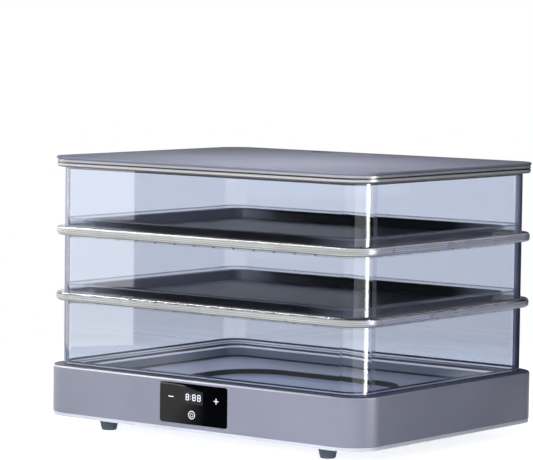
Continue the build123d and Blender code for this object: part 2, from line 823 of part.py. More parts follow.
def fuse():
    """Glass fuse in its two clips."""
    tube = Rot(Y=90) * Cylinder(fuse_diameter / 2, fuse_length)
    body = Pos(power_board_x + fuse_x, power_board_y + fuse_y, board_top + fuse_rise) * tube
    for side in (-1, 1):
        body += on_board(fuse_x + side * fuse_clip_spacing / 2, fuse_y, fuse_clip_length,
                         fuse_clip_width, fuse_clip_width)
    return body


def terminal_blocks():
    """Terminal blocks for the heater wires, the mains wires and the control cable."""
    return Compound(children=[on_board(*size) for size in (heater_block, mains_block,
                                                           control_block)])


# ---- Mains inlet ----
inlet_flange_y = back_y - shell_thickness - inlet_flange_thickness
inlet_rear_y = back_y - inlet_depth
pin_start_y = inlet_rear_y - 5
inlet_pin_places = [(inlet_x - 7, inlet_z - 2), (inlet_x, inlet_z + 2), (inlet_x + 7, inlet_z - 2)]


def inlet_socket():
    """Mains inlet, flush with the back of the base, with its flange behind the shell."""
    body = front_plate(inlet_x, inlet_z, inlet_width, inlet_height, 3.0, inlet_rear_y, back_y)
    body += front_plate(inlet_x, inlet_z, inlet_flange_width, inlet_height + 4, 4.0,
                        inlet_flange_y, inlet_flange_y + inlet_flange_thickness)
    body -= front_plate(inlet_x, inlet_z, inlet_width - 2 * inlet_wall,
                        inlet_height - 2 * inlet_wall, 2.0, inlet_rear_y + 3, back_y)
    for side in (-1, 1):
        body -= front_rod(inlet_x + side * inlet_screw_spacing / 2, inlet_z, screw_shank,
                          inlet_flange_y, inlet_flange_y + inlet_flange_thickness)
    for x, z in inlet_pin_places:
        body -= block((x - 2, x + 2), (inlet_rear_y, inlet_rear_y + 3), (z - 1, z + 1))
    return body


def inlet_pins():
    """Three flat pins of the inlet, with solder tags behind."""
    return Compound(children=[block((x - 2, x + 2), (pin_start_y, back_y - 4), (z - 1, z + 1))
                              for x, z in inlet_pin_places])


def inlet_screws():
    """Two sunk screws that hold the inlet's flange."""
    screws = []
    for side in (-1, 1):
        x = inlet_x + side * inlet_screw_spacing / 2
        head = front_rod(x, inlet_z, screw_head, back_y - screw_head_height, back_y)
        shank = front_rod(x, inlet_z, screw_shank, inlet_flange_y - 2, back_y)
        screws.append(head + shank)
    return Compound(children=screws)


# ---- Internal wiring ----
wire_lane_x = -shield_wall_length / 2 - shield_flange - wire_lane_gap
heater_wire_z = board_top + heater_wire_rise


def heater_leads():
    """Two wires from the ends of the heating tube to their terminal block."""
    leads = []
    finish_x = power_board_x + heater_block[0] - heater_block[2] / 2
    for y, side, lane in ((run_ys[0], 1, wire_lane_x - wire_lane_pitch),
                          (run_ys[-1], -1, wire_lane_x)):
        finish_y = power_board_y + side * heater_terminal_pitch / 2
        leads.append(wire([(-run_end_x, y, tube_z), (lane, y, tube_z),
                           (lane, finish_y, heater_wire_z), (finish_x, finish_y, heater_wire_z)]))
    return Compound(children=leads)


def mains_leads():
    """Live and neutral wires from the inlet to their terminal block."""
    leads = []
    finish_x = power_board_x + mains_block[0] + mains_block[2] / 2
    for (x, z), side in zip((inlet_pin_places[0], inlet_pin_places[2]), (1, -1)):
        lane_y = power_board_y + mains_block[1] + side * mains_terminal_pitch / 2
        leads.append(wire([(x, pin_start_y, z), (x, lane_y, z), (finish_x, lane_y, z)],
                          tight_wire_bend))
    return Compound(children=leads)


def control_cable():
    """Cable from the control board to the power board."""
    lane_x = wire_lane_x - control_lane_gap
    lane_y = -post_edge_y + 2 * post_diameter
    start_x = -control_board_width / 2 + post_diameter
    start_z = panel_z - control_board_height / 2 + 2 * wire_diameter
    z = board_top + wire_diameter
    finish_x = power_board_x + control_block[0] - control_block[2] / 2
    finish_y = power_board_y + control_block[1]
    return wire([(start_x, board_back_y, start_z), (start_x, lane_y, start_z),
                 (lane_x, lane_y, z), (lane_x, finish_y, z), (finish_x, finish_y, z)])


def earth_lead():
    """Earth wire from the inlet's middle pin to the heater shield."""
    x, z = inlet_pin_places[1]
    finish_y = shield_wall_width / 2
    return wire([(x, pin_start_y, z), (x, finish_y, z),
                 (x, finish_y, shield_flange_top - shield_sheet)], tight_wire_bend)


# ---- Every node of the proofer ----
nodes = {
    "base_shell": base_shell(),
    "liner_rim": liner_rim(),
    "heated_floor": heated_floor(),
    "well_pan": well_pan(),
    "liner_screws": liner_screws(),
    "bottom_cover": bottom_cover(),
    "cover_screws": cover_screws(),
    "foot_screws": foot_screws(),
    "water_tray": water_tray(),
    "heater_plate": heater_plate(),
    "heater_element": heater_element(),
    "heater_insulation": insulation(),
    "heater_shield": heater_shield(),
    "shield_screws": shield_screws(),
    "thermal_cutout": thermal_cutout(),
    "sensor_grommet": sensor_grommet(),
    "temperature_sensor": temperature_sensor(),
    "panel_glass": panel_glass(),
    "display_module": display_module(),
    "touch_springs": touch_springs(),
    "control_board": control_board(),
    "control_board_screws": control_board_screws(),
    "power_board": power_board(),
    "power_board_screws": power_board_screws(),
    "transformer": transformer(),
    "relay": relay(),
    "capacitors": capacitors(),
    "fuse": fuse(),
    "terminal_blocks": terminal_blocks(),
    "inlet_socket": inlet_socket(),
    "inlet_pins": inlet_pins(),
    "inlet_screws": inlet_screws(),
    "heater_leads": heater_leads(),
    "mains_leads": mains_leads(),
    "control_cable": control_cable(),
    "earth_lead": earth_lead(),
    "wall_1": wall_ring(base_top, frame_1_bottom),
    "frame_1": frame(frame_1_bottom),
    "tray_1": tray(frame_1_bottom),
    "wall_2": wall_ring(frame_1_bottom + frame_height, frame_2_bottom),
    "frame_2": frame(frame_2_bottom),
    "tray_2": tray(frame_2_bottom),
    "wall_3": wall_ring(frame_2_bottom + frame_height, lid_rim_bottom),
    "lid_rim": lid_rim(),
    "lid_plate": lid_plate(),
    "lid_screws": lid_screws(),
}
for number, (x, y) in enumerate(foot_places, start=1):
    nodes[f"foot_{number}"] = foot(x, y)

for name, shape in nodes.items():
    export_step(shape, f"parts/{name}.step")
    print(name, round(shape.volume))
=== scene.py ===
# %% [markdown]
# # A stacking dough proofer
# The proofer is a heated base, three clear wall rings, two clear frames that each carry a
# black tray, and a flat lid. The construction is already settled in the loaded model, so this
# lesson only dresses it: every piece below takes its size and place from the loaded nodes.

# %% Load the model
import bpy
import bmesh
from math import pi, radians
from mathutils import Matrix, Vector


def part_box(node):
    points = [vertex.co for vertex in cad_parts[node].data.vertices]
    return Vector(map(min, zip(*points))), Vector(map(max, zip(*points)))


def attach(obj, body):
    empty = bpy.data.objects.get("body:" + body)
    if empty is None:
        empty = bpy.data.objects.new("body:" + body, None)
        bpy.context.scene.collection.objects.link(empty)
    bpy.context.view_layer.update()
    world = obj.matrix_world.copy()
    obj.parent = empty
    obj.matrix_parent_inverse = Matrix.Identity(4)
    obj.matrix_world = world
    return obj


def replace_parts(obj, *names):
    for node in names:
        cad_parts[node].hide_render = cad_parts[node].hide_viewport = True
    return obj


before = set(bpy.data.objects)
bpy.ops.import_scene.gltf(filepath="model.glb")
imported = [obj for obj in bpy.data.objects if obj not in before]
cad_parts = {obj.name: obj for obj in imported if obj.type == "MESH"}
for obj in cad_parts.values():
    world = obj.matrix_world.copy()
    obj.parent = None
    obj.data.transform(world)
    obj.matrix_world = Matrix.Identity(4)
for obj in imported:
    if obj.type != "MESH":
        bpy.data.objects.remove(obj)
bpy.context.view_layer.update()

# %% [markdown]
# ## The camera
# The view is from the front right corner, a little above the lid, through a long lens. A long
# lens keeps the upright edges nearly parallel. Working out the lens from a focal length in
# pixels keeps the framing the same at any picture size.

# %% Camera
PICTURE_WIDTH = 533
SENSOR_WIDTH = 36.0
FOCAL_PIXELS = 2992.5
AIM = Vector((-0.0389, 0.0, 0.2335))
CAMERA_DISTANCE = 3.5165
CAMERA_YAW = radians(38.07)
CAMERA_PITCH = radians(4.39)
CAMERA_ROLL = radians(0.73)

camera_data = bpy.data.cameras.new("camera")
camera_data.sensor_width = SENSOR_WIDTH
camera_data.lens = SENSOR_WIDTH * FOCAL_PIXELS / PICTURE_WIDTH
camera_data.clip_end = 30.0
camera = bpy.data.objects.new("camera", camera_data)
bpy.context.scene.collection.objects.link(camera)
turn = Matrix.Rotation(CAMERA_YAW, 4, "Z") @ Matrix.Rotation(pi / 2 - CAMERA_PITCH, 4, "X")
camera.matrix_world = (Matrix.Translation(AIM) @ turn @ Matrix.Rotation(CAMERA_ROLL, 4, "Z")
                       @ Matrix.Translation((0, 0, CAMERA_DISTANCE)))
bpy.context.scene.camera = camera
bpy.context.scene.view_settings.view_transform = "Standard"
print("lens", round(camera_data.lens, 1), "mm")

# %% [markdown]
# ## Helpers for materials
# Every finish starts from one Principled shader. Small helpers keep the cells short: one makes
# the material, one adds noise on Object coordinates, one moves a value to the range that a
# socket needs. The nodes could be wired by hand in the editor, but named helpers say what each
# chain is for.

# %% A material and its noise
def principled(material):
    """The material's one shader."""
    return material.node_tree.nodes["Principled BSDF"]


def new_material(name, color, roughness=0.5, specular=0.5, metallic=0.0):
    """A material with one Principled shader."""
    material = bpy.data.materials.new(name)
    material.use_nodes = True
    inputs = principled(material).inputs
    inputs["Base Color"].default_value = (*color, 1.0)
    inputs["Roughness"].default_value = roughness
    inputs["Specular IOR Level"].default_value = specular
    inputs["Metallic"].default_value = metallic
    return material


def feed(material, name, source):
    """Links a value to an input of the shader."""
    material.node_tree.links.new(source, principled(material).inputs[name])


def fed(material, name):
    """What is linked to that input so far."""
    return principled(material).inputs[name].links[0].from_socket


def object_place(tree):
    """Where the shaded point lies. Every object here has its origin at the scene's."""
    return tree.nodes.new("ShaderNodeTexCoord").outputs["Object"]


def noise(material, scale, detail, stretch=None):
    """Noise in Object coordinates, squeezed along each axis by the factors in stretch."""
    tree = material.node_tree
    place = object_place(tree)
    if stretch:
        squeeze = tree.nodes.new("ShaderNodeMapping")
        squeeze.inputs["Scale"].default_value = stretch
        tree.links.new(place, squeeze.inputs["Vector"])
        place = squeeze.outputs["Vector"]
    node = tree.nodes.new("ShaderNodeTexNoise")
    node.inputs["Scale"].default_value = scale
    node.inputs["Detail"].default_value = detail
    tree.links.new(place, node.inputs["Vector"])
    return node.outputs["Fac"]


def spread_value(material, source, low, high, start=0.0, stop=1.0):
    """A value between start and stop, moved to the range from low to high."""
    node = material.node_tree.nodes.new("ShaderNodeMapRange")
    node.inputs["From Min"].default_value = start
    node.inputs["From Max"].default_value = stop
    node.inputs["To Min"].default_value = low
    node.inputs["To Max"].default_value = high
    material.node_tree.links.new(source, node.inputs["Value"])
    return node.outputs["Result"]


# %% [markdown]
# ## Colour and grain
# A real surface is never one flat value. A ramp between two near tones gives its colour a slow
# drift, and a bump gives it a grain far too small to model. Colours are picked on the 0 to 255
# scale of a screen, but a shader works with linear light, so one helper converts them.

# %% Tones, bump and screen colours
def two_tones(material, source, dark, light, start=0.3, stop=0.7):
    """The colour that runs from dark to light while the source runs from start to stop."""
    ramp = material.node_tree.nodes.new("ShaderNodeValToRGB")
    first, last = ramp.color_ramp.elements
    first.color, last.color = (*dark, 1.0), (*light, 1.0)
    first.position, last.position = start, stop
    material.node_tree.links.new(source, ramp.inputs["Fac"])
    return ramp.outputs["Color"]


def vary_color(material, source, dark, light):
    """The base colour wanders between two near tones."""
    feed(material, "Base Color", two_tones(material, source, dark, light))


def add_bump(material, source, strength, distance):
    """A grain that only tilts the light, with no depth in the mesh."""
    node = material.node_tree.nodes.new("ShaderNodeBump")
    node.inputs["Strength"].default_value = strength
    node.inputs["Distance"].default_value = distance
    material.node_tree.links.new(source, node.inputs["Height"])
    feed(material, "Normal", node.outputs["Normal"])


def srgb(red, green, blue):
    """A colour picked on a 0 to 255 screen scale, as the shader's linear value."""
    def linear(value):
        value /= 255.0
        return value / 12.92 if value <= 0.04045 else ((value + 0.055) / 1.055) ** 2.4
    return (linear(red), linear(green), linear(blue))


print("a middle grey of 128 is", round(srgb(128, 128, 128)[0], 3), "in linear light")

# %% [markdown]
# ## Moulded plastic, paint and metal
# Most pieces are injection moulded or painted. Up close such a surface has faint cloudy tone
# changes, a very fine grain and a gloss that is a little uneven. One recipe gives all three,
# and each piece sets its own colour, gloss and grain. Metal parts have fine marks along the way
# they were rolled or drawn, which is the same noise, stretched.

# %% Moulded and metal finishes
MM = 0.001


def moulded(name, color, roughness, specular=0.4, grain=900.0, depth=0.02 * MM, tone=0.06):
    """Moulded plastic or paint: faint tone changes, a fine texture and uneven gloss."""
    material = new_material(name, color, roughness, specular)
    vary_color(material, noise(material, 9.0, 3.0), [c * (1 - tone) for c in color],
               [min(c * (1 + tone), 1.0) for c in color])
    fine = noise(material, grain, 2.0)
    feed(material, "Roughness", spread_value(material, fine, roughness * 0.88, roughness * 1.12))
    add_bump(material, fine, 0.35, depth)
    return material


def sheet_metal(name, color, roughness, stretch):
    """Drawn or rolled metal, with fine marks along the way it was worked."""
    material = new_material(name, color, roughness, metallic=1.0)
    marks = noise(material, 60.0, 4.0, stretch)
    vary_color(material, marks, [c * 0.85 for c in color], [min(c * 1.1, 1.0) for c in color])
    feed(material, "Roughness", spread_value(material, marks, roughness * 0.8, roughness * 1.3))
    return material


# %% [markdown]
# ## Measuring by place
# The rings and the base are all the same rounded rectangle, moved in or out. A few math nodes
# find how far outward from the walls a point lies, so a finish can change along a rim, such as
# a bright edge or a dark groove, without cutting the mesh. Painting such a line on a UV map
# would also work, but it would have to be redrawn for every ring.

# %% Steps of arithmetic
HALF_X, HALF_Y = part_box("wall_1")[1][0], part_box("wall_1")[1][1]
CORNER = 0.024


def vector_step(tree, operation, source, value=None):
    """One Vector Math node, with a fixed second value where it needs one."""
    node = tree.nodes.new("ShaderNodeVectorMath")
    node.operation = operation
    tree.links.new(source, node.inputs[0])
    if value is not None:
        node.inputs[1].default_value = value
    return node.outputs["Value" if operation == "LENGTH" else "Vector"]


def number_step(tree, operation, first, second):
    """One Math node. Each side is a number or another node's output."""
    node = tree.nodes.new("ShaderNodeMath")
    node.operation = operation
    for socket, value in zip(node.inputs, (first, second)):
        if isinstance(value, (int, float)):
            socket.default_value = value
        else:
            tree.links.new(value, socket)
    return node.outputs["Value"]


def split_axes(tree, source):
    """The X, Y and Z parts of a place."""
    split = tree.nodes.new("ShaderNodeSeparateXYZ")
    tree.links.new(source, split.inputs["Vector"])
    return split.outputs


print("walls", round(2 * HALF_X / MM), "by", round(2 * HALF_Y / MM), "mm")

# %% Offset and height
def past_straights(tree):
    """How far a point lies past the straight part of the walls, along X and along Y."""
    away = vector_step(tree, "ABSOLUTE", object_place(tree))
    return vector_step(tree, "SUBTRACT", away, (HALF_X - CORNER, HALF_Y - CORNER, 0))


def wall_offset(material):
    """How far outward from the walls a point lies, in millimetres."""
    tree = material.node_tree
    flat = vector_step(tree, "MULTIPLY", past_straights(tree), (1, 1, 0))
    reach = vector_step(tree, "LENGTH", vector_step(tree, "MAXIMUM", flat, (0, 0, 0)))
    return number_step(tree, "DIVIDE", number_step(tree, "SUBTRACT", reach, CORNER), MM)


def corner_mask(material, start=-8 * MM, full=-7 * MM):
    """Zero on the flat walls, one in the rounded corners from where full says."""
    tree = material.node_tree
    past = split_axes(tree, past_straights(tree))
    least = number_step(tree, "MINIMUM", past["X"], past["Y"])
    return spread_value(material, least, 0.0, 1.0, start, full)


def height_mm(material):
    """How high a point lies above the table, in millimetres."""
    tree = material.node_tree
    return number_step(tree, "DIVIDE", split_axes(tree, object_place(tree))["Z"], MM)


# %% [markdown]
# ## Painting by place
# A mask is a value that is one where a colour goes and zero elsewhere. Two masks multiplied give
# the place where both hold, and a mix node lays the new colour over what was there before.

# %% Masks and paint
def both(material, first, second):
    """One only where both masks are one."""
    return number_step(material.node_tree, "MULTIPLY", first, second)


def between_values(material, source, low, high, soft=0.15):
    """One where the source lies from low to high, fading to zero just outside."""
    rise = spread_value(material, source, 0.0, 1.0, low - soft, low)
    fall = spread_value(material, source, 1.0, 0.0, high, high + soft)
    return both(material, rise, fall)


def paint_over(material, mask, color):
    """Lays a colour, or another node's colour, over the base colour where the mask is one."""
    tree = material.node_tree
    below = fed(material, "Base Color")
    mix = tree.nodes.new("ShaderNodeMix")
    mix.data_type = "RGBA"
    tree.links.new(mask, mix.inputs["Factor"])
    tree.links.new(below, mix.inputs["A"])
    if isinstance(color, bpy.types.NodeSocket):
        tree.links.new(color, mix.inputs["B"])
    else:
        mix.inputs["B"].default_value = (*color, 1.0)
    feed(material, "Base Color", mix.outputs["Result"])


def paint_band(material, low, high, color, soft=0.15, within=None):
    """Paints the heights from low to high, in millimetres, only within a mask if one is given."""
    mask = between_values(material, height_mm(material), low, high, soft)
    paint_over(material, mask if within is None else both(material, mask, within), color)


def roughen(material, amount):
    """Adds to the roughness."""
    rougher = number_step(material.node_tree, "ADD", fed(material, "Roughness"), amount)
    feed(material, "Roughness", rougher)


# %% [markdown]
# ## Clear plastic
# The rings are smoke-lavender clear plastic. A Principled shader with full transmission bends
# light as the real ring does, but its shadow would be dark, because the renderer doesn't trace
# lamps through it. Letting shadow rays pass through a tinted transparent shader solves that.
# The rounded corners are painted paler, a painted highlight where they catch light. Where a
# corner turns away from the eye, it is painted darker and lets less light through, a painted
# shade for the dark band that the bent view shows there.

# %% Clear finishes
CLEAR_IOR = 1.49
CORNER_HIGHLIGHT = (0.93, 0.95, 1.0)


def paint_corner_highlight_and_shade(material, edge):
    """Paints a highlight on the rounded corners, and a shade where they turn away from the eye."""
    # painted highlight: the rounded corners are painted paler
    half = spread_value(material, corner_mask(material, 0.0, 5 * MM), 0.0, 0.5)
    paint_over(material, half, CORNER_HIGHLIGHT)
    # painted shade: where a corner turns away, a darker colour and less transmission
    facing = material.node_tree.nodes.new("ShaderNodeLayerWeight")
    facing.inputs["Blend"].default_value = 0.5
    turned_away = spread_value(material, facing.outputs["Facing"], 0.0, 1.0, 0.405, 0.45)
    mask = both(material, corner_mask(material), turned_away)
    paint_over(material, mask, edge)
    feed(material, "Transmission Weight", spread_value(material, mask, 1.0, 0.3))


def let_lamps_through(material, color):
    """Shadow rays pass, tinted, as if the bending shader weren't there."""
    nodes, links = material.node_tree.nodes, material.node_tree.links
    through = nodes.new("ShaderNodeBsdfTransparent")
    through.inputs["Color"].default_value = (*color, 1.0)
    mix = nodes.new("ShaderNodeMixShader")
    links.new(nodes.new("ShaderNodeLightPath").outputs["Is Shadow Ray"], mix.inputs["Fac"])
    links.new(principled(material).outputs["BSDF"], mix.inputs[1])
    links.new(through.outputs["BSDF"], mix.inputs[2])
    links.new(mix.outputs["Shader"], nodes["Material Output"].inputs["Surface"])


def clear_plastic(name, color, roughness=0.02, edge=None):
    """Clear plastic that bends light, yet lets lamps shine through to what is inside."""
    material = new_material(name, color, roughness)
    principled(material).inputs["Transmission Weight"].default_value = 1.0
    principled(material).inputs["IOR"].default_value = CLEAR_IOR
    haze = noise(material, 14.0, 2.0)
    feed(material, "Roughness", spread_value(material, haze, roughness * 0.5, roughness * 1.5))
    vary_color(material, haze, [c * 0.99 for c in color], color)
    # edge is the colour of the painted shade where a corner turns away from the eye
    if edge:
        paint_corner_highlight_and_shade(material, edge)
    let_lamps_through(material, [0.5 + 0.5 * c for c in color])
    return material


# The three rings are one plastic, yet the lower a ring, the darker its tint and its corner shade:
# painted shade for the darker things seen through the lower rings.
finish_of = {
    "wall_1": clear_plastic("clear_wall_1", (0.69, 0.728, 0.81), edge=srgb(98, 104, 132)),
    "wall_2": clear_plastic("clear_wall_2", (0.755, 0.797, 0.885), edge=srgb(112, 118, 146)),
    "wall_3": clear_plastic("clear_wall_3", (0.79, 0.833, 0.928), edge=srgb(158, 166, 188)),
}
clear_lip = clear_plastic("clear_lip", (0.80, 0.81, 0.83), roughness=0.03)
print("clear walls", len(finish_of))

# %% [markdown]
# ## Frosted flanges
# Each frame is clear where it holds the walls, but its outer flange is thick and slightly
# frosted, with fine streaks along it. The mask by offset turns the transmission down there,
# and a noise squeezed in height draws the streaks. Painted reflections make the flange bluer at
# the right end and greyer at the left end, thin grey lines run along it at set heights, and a
# painted shade darkens its foot. It starts above a skirt that reaches down inside the ring
# below.

# %% Frame finish
SKIRT, FLANGE = 2.5, 11.0
STREAKS = (1.0, 1.0, 40.0)
# the dark colour is a painted shade along the flange's foot
FLANGE_FOOT_SHADE, GREY_LINE = srgb(120, 118, 114), srgb(158, 158, 158)
FLANGE_LINES = ((-0.5, 1.1, FLANGE_FOOT_SHADE), (2.9, 3.3, GREY_LINE), (5.1, 5.5, GREY_LINE),
                (7.2, 7.6, GREY_LINE))


def frame_finish(name, low, clear_edge):
    """Clear lips, and a flange that is frosted from the height low to its clear edge, in mm."""
    material = clear_plastic(name, (0.88, 0.88, 0.88), roughness=0.1)
    outer = spread_value(material, wall_offset(material), 0.0, 1.0, 0.1, 0.4)
    top = low + FLANGE - clear_edge
    flange = both(material, outer,
                  spread_value(material, height_mm(material), 1.0, 0.0, top - 0.6, top))
    feed(material, "Transmission Weight", spread_value(material, flange, 1.0, 0.15))
    roughen(material, spread_value(material, flange, 0.0, 0.18))
    paint_over(material, flange, two_tones(material, noise(material, 9.0, 3.0, STREAKS),
                                           srgb(188, 188, 184), srgb(224, 224, 216), 0.35, 0.62))
    across = split_axes(material.node_tree, object_place(material.node_tree))["X"]
    # painted reflections: the right end of the flange is painted bluer, the left end greyer
    for way, color in ((1, srgb(222, 224, 246)), (-1, srgb(160, 158, 166))):
        outward = number_step(material.node_tree, "MULTIPLY", across, way)
        side = spread_value(material, outward, 0.0, 1.0, HALF_X - 2 * MM, HALF_X + 8 * MM)
        paint_over(material, both(material, side, flange), color)
    # the lowest line is a painted shade along the flange's foot; the others are thin grey lines
    for start, stop, color in FLANGE_LINES:
        paint_band(material, low + start, low + stop, color, 0.3, flange)
    return material


box = {name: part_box(name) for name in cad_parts}
for number, clear_edge in ((1, 2.6), (2, 1.2)):
    low = box[f"frame_{number}"][0][2] / MM + SKIRT
    finish_of[f"frame_{number}"] = frame_finish(f"frame_{number}_plastic", low, clear_edge)
    print("flange", number, "starts at", round(low, 1), "mm")

# %% [markdown]
# ## The trays
# A tray is pressed from steel sheet and has a black baked-on coat. The coat is dull on the rim,
# where the light grazes it, glossier and a little paler on the tray's floor, and palest at its
# two ends, where the paler colour is a painted reflection. All of it follows from the height and
# from how far out a point lies, so one recipe serves both trays.

# %% Tray finish
def tray_finish(name, top):
    """A black coat, dull on the rim and with more sheen on the tray's floor, and a painted
    reflection that makes its two ends paler.
    """
    material = moulded(name, srgb(24, 24, 26), 0.36, specular=0.2)
    height = height_mm(material)
    roughen(material, spread_value(material, height, 0.0, 0.5, top - 3.0, top - 2.0))
    floor_mask = spread_value(material, height, 1.0, 0.0, top - 11.5, top - 10.5)
    paint_over(material, floor_mask, srgb(52, 53, 57))
    # painted reflection: both ends of the tray are painted paler
    away = vector_step(material.node_tree, "ABSOLUTE", object_place(material.node_tree))
    ends = spread_value(material, split_axes(material.node_tree, away)["X"], 0.0, 1.0, 0.13, 0.19)
    paint_over(material, ends, srgb(116, 117, 126))
    return material


for number in (1, 2):
    top = box[f"tray_{number}"][1][2] / MM
    finish_of[f"tray_{number}"] = tray_finish(f"tray_{number}_coat", top)
    print("tray", number, "rim at", round(top, 1), "mm")

# %% [markdown]
# ## The base
# The shell is a satin grey with a breath of violet. Its channel for the walls lies in shade, so
# it is painted darker, as is the top of the shell, and two bright lines, painted highlights,
# follow its edges: one inside, and one along the front that fades to the right. The liner is a
# darker slate, with a dark line where its wall meets the floor plate.

# %% The shell's paint
lip_top = box["base_shell"][1][2] / MM
shell_paint = moulded("shell_paint", srgb(151, 152, 166), 0.38, specular=0.2)
offset = wall_offset(shell_paint)
# painted shade: the channel for the walls, and above it the top of the shell, are painted darker
paint_over(shell_paint, between_values(shell_paint, offset, -6.0, 0.5), srgb(84, 88, 102))
paint_band(shell_paint, lip_top - 4.6, lip_top + 1, srgb(64, 68, 86), 0.4)
# painted highlight: a pale line just inside the shell's lip
inside = between_values(shell_paint, offset, -3.3, -2.3, 0.2)
paint_band(shell_paint, lip_top - 2.8, lip_top - 1.8, srgb(190, 192, 200), 0.4, inside)
# painted highlight: a white line along the shell's rounded front edge, fading out to the right
across = split_axes(shell_paint.node_tree, object_place(shell_paint.node_tree))["X"]
fade = spread_value(shell_paint, across, 1.0, 0.0, -0.05, 0.21)
paint_band(shell_paint, lip_top - 6.2, lip_top - 5.0, srgb(236, 237, 242), 0.4, fade)
print("the base's lip is at", round(lip_top, 1), "mm")

# %% Inside the base
floor_top = box["heated_floor"][1][2] / MM
liner_slate = moulded("liner_slate", srgb(114, 121, 132), 0.45, specular=0.2)
paint_band(liner_slate, floor_top - 0.1, floor_top + 2.2, srgb(56, 60, 62))
water_tray_coat = moulded("water_tray_coat", srgb(158, 165, 190), 0.3, specular=0.3)
low = box["water_tray"][0][2] / MM
paint_band(water_tray_coat, low + 1.3, low + 9.0, srgb(56, 58, 52))
finish_of.update({
    "base_shell": shell_paint, "liner_rim": liner_slate, "water_tray": water_tray_coat,
    "heated_floor": moulded("floor_paint", srgb(160, 164, 180), 0.4, specular=0.3),
    "well_pan": moulded("pan_coat", srgb(54, 56, 50), 0.4, specular=0.3),
    "bottom_cover": moulded("cover_plastic", srgb(226, 228, 234), 0.45),
})
foot_rubber = moulded("foot_rubber", srgb(96, 104, 114), 0.6, specular=0.3)
finish_of.update({f"foot_{number}": foot_rubber for number in (1, 2, 3, 4)})
print("pieces with a finish so far", len(finish_of))

# %% [markdown]
# ## The lid
# The lid is a matt plate in a bright rim with a groove. The three bands of the rim are steps
# of less than 3 mm, so painted light and shade by height show them as well as a cut mesh would:
# a darker grey band of painted shade low down, a pale cream band of painted highlight, and a
# dark band of painted shade in the groove.

# %% The lid's finishes
lid_paint = moulded("lid_paint", srgb(142, 144, 160), 0.55, specular=0.02)
rim_plastic = moulded("rim_plastic", srgb(180, 180, 183), 0.28, specular=0.4)
low = box["lid_rim"][0][2] / MM + SKIRT
# painted light and shade for the rim's steps: darker grey low down, a pale cream highlight, and a
# dark shade in the groove
for start, stop, color, soft in ((-3.0, 1.6, (114, 113, 118), 0.15),
                                 (1.8, 3.6, (206, 202, 195), 0.15), (4.4, 6.0, (60, 60, 66), 0.1)):
    paint_band(rim_plastic, low + start, low + stop, srgb(*color), soft)
finish_of.update({"lid_plate": lid_paint, "lid_rim": rim_plastic})
print("the rim's bands start at", round(low, 1), "mm")

# %% [markdown]
# ## What is inside
# Heater, boards and wires are hidden by the base, yet each gets the metal or plastic that such a
# piece has, for anyone who opens the model. A table keeps that short: each row is one finish and
# the pieces that wear it.

# %% Finishes of the hidden pieces
for name, color, roughness, nodes in (
        ("display_grey", (66, 68, 70), 0.2, ["display_module"]),
        ("board_green", (30, 92, 52), 0.45, ["control_board", "power_board"]),
        ("board_parts", (22, 22, 24), 0.45, ["thermal_cutout", "panel_glass", "capacitors",
                                             "terminal_blocks", "inlet_socket"]),
        ("relay_blue", (40, 84, 160), 0.4, ["relay"]),
        ("grommet_red", (170, 70, 52), 0.65, ["sensor_grommet"]),
        ("wire_red", (176, 42, 34), 0.4, ["heater_leads"]),
        ("wire_blue", (36, 74, 150), 0.4, ["mains_leads"]),
        ("wire_green", (84, 150, 50), 0.4, ["earth_lead"]),
        ("cable_black", (26, 26, 28), 0.5, ["control_cable"])):
    finish_of.update(dict.fromkeys(nodes, moulded(name, srgb(*color), roughness)))
finish_of["heater_insulation"] = moulded("fibre", srgb(222, 214, 196), 0.95, specular=0.05,
                                         grain=300.0, depth=0.4 * MM)

EVEN, ALONG_X, ALONG_Y = (1.0, 1.0, 1.0), (1.0, 30.0, 30.0), (30.0, 1.0, 30.0)
screws = [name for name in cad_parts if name.endswith("screws")]
for name, color, roughness, stretch, nodes in (
        ("screw_steel", (0.55, 0.55, 0.56), 0.32, EVEN, ["touch_springs", *screws]),
        ("rolled_steel", (0.56, 0.57, 0.58), 0.35, ALONG_X,
         ["heater_shield", "temperature_sensor", "transformer"]),
        ("rolled_aluminium", (0.72, 0.73, 0.75), 0.38, ALONG_X, ["heater_plate"]),
        ("heating_steel", (0.30, 0.28, 0.27), 0.45, ALONG_Y, ["heater_element"]),
        ("brass", (0.76, 0.58, 0.26), 0.3, ALONG_X, ["fuse", "inlet_pins"])):
    finish_of.update(dict.fromkeys(nodes, sheet_metal(name, color, roughness, stretch)))

for name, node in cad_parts.items():
    node.data.materials.clear()
    node.data.materials.append(finish_of[name])
print("finishes", len(bpy.data.materials), "on", len(finish_of), "pieces")

# %% [markdown]
# ## Beads along the rims
# A real rim has a rolled or rounded edge that catches a thin bright line. Each bead here is a
# small circle carried round a rounded rectangle. A curve with a bevel would do it too, but a
# spin for each corner and an extrusion for each side keep the arcs exact.

# %% The sweep round a rounded rectangle
def only_verts(geom):
    """The vertices among what an operator returns."""
    return [v for v in geom if isinstance(v, bmesh.types.BMVert)]


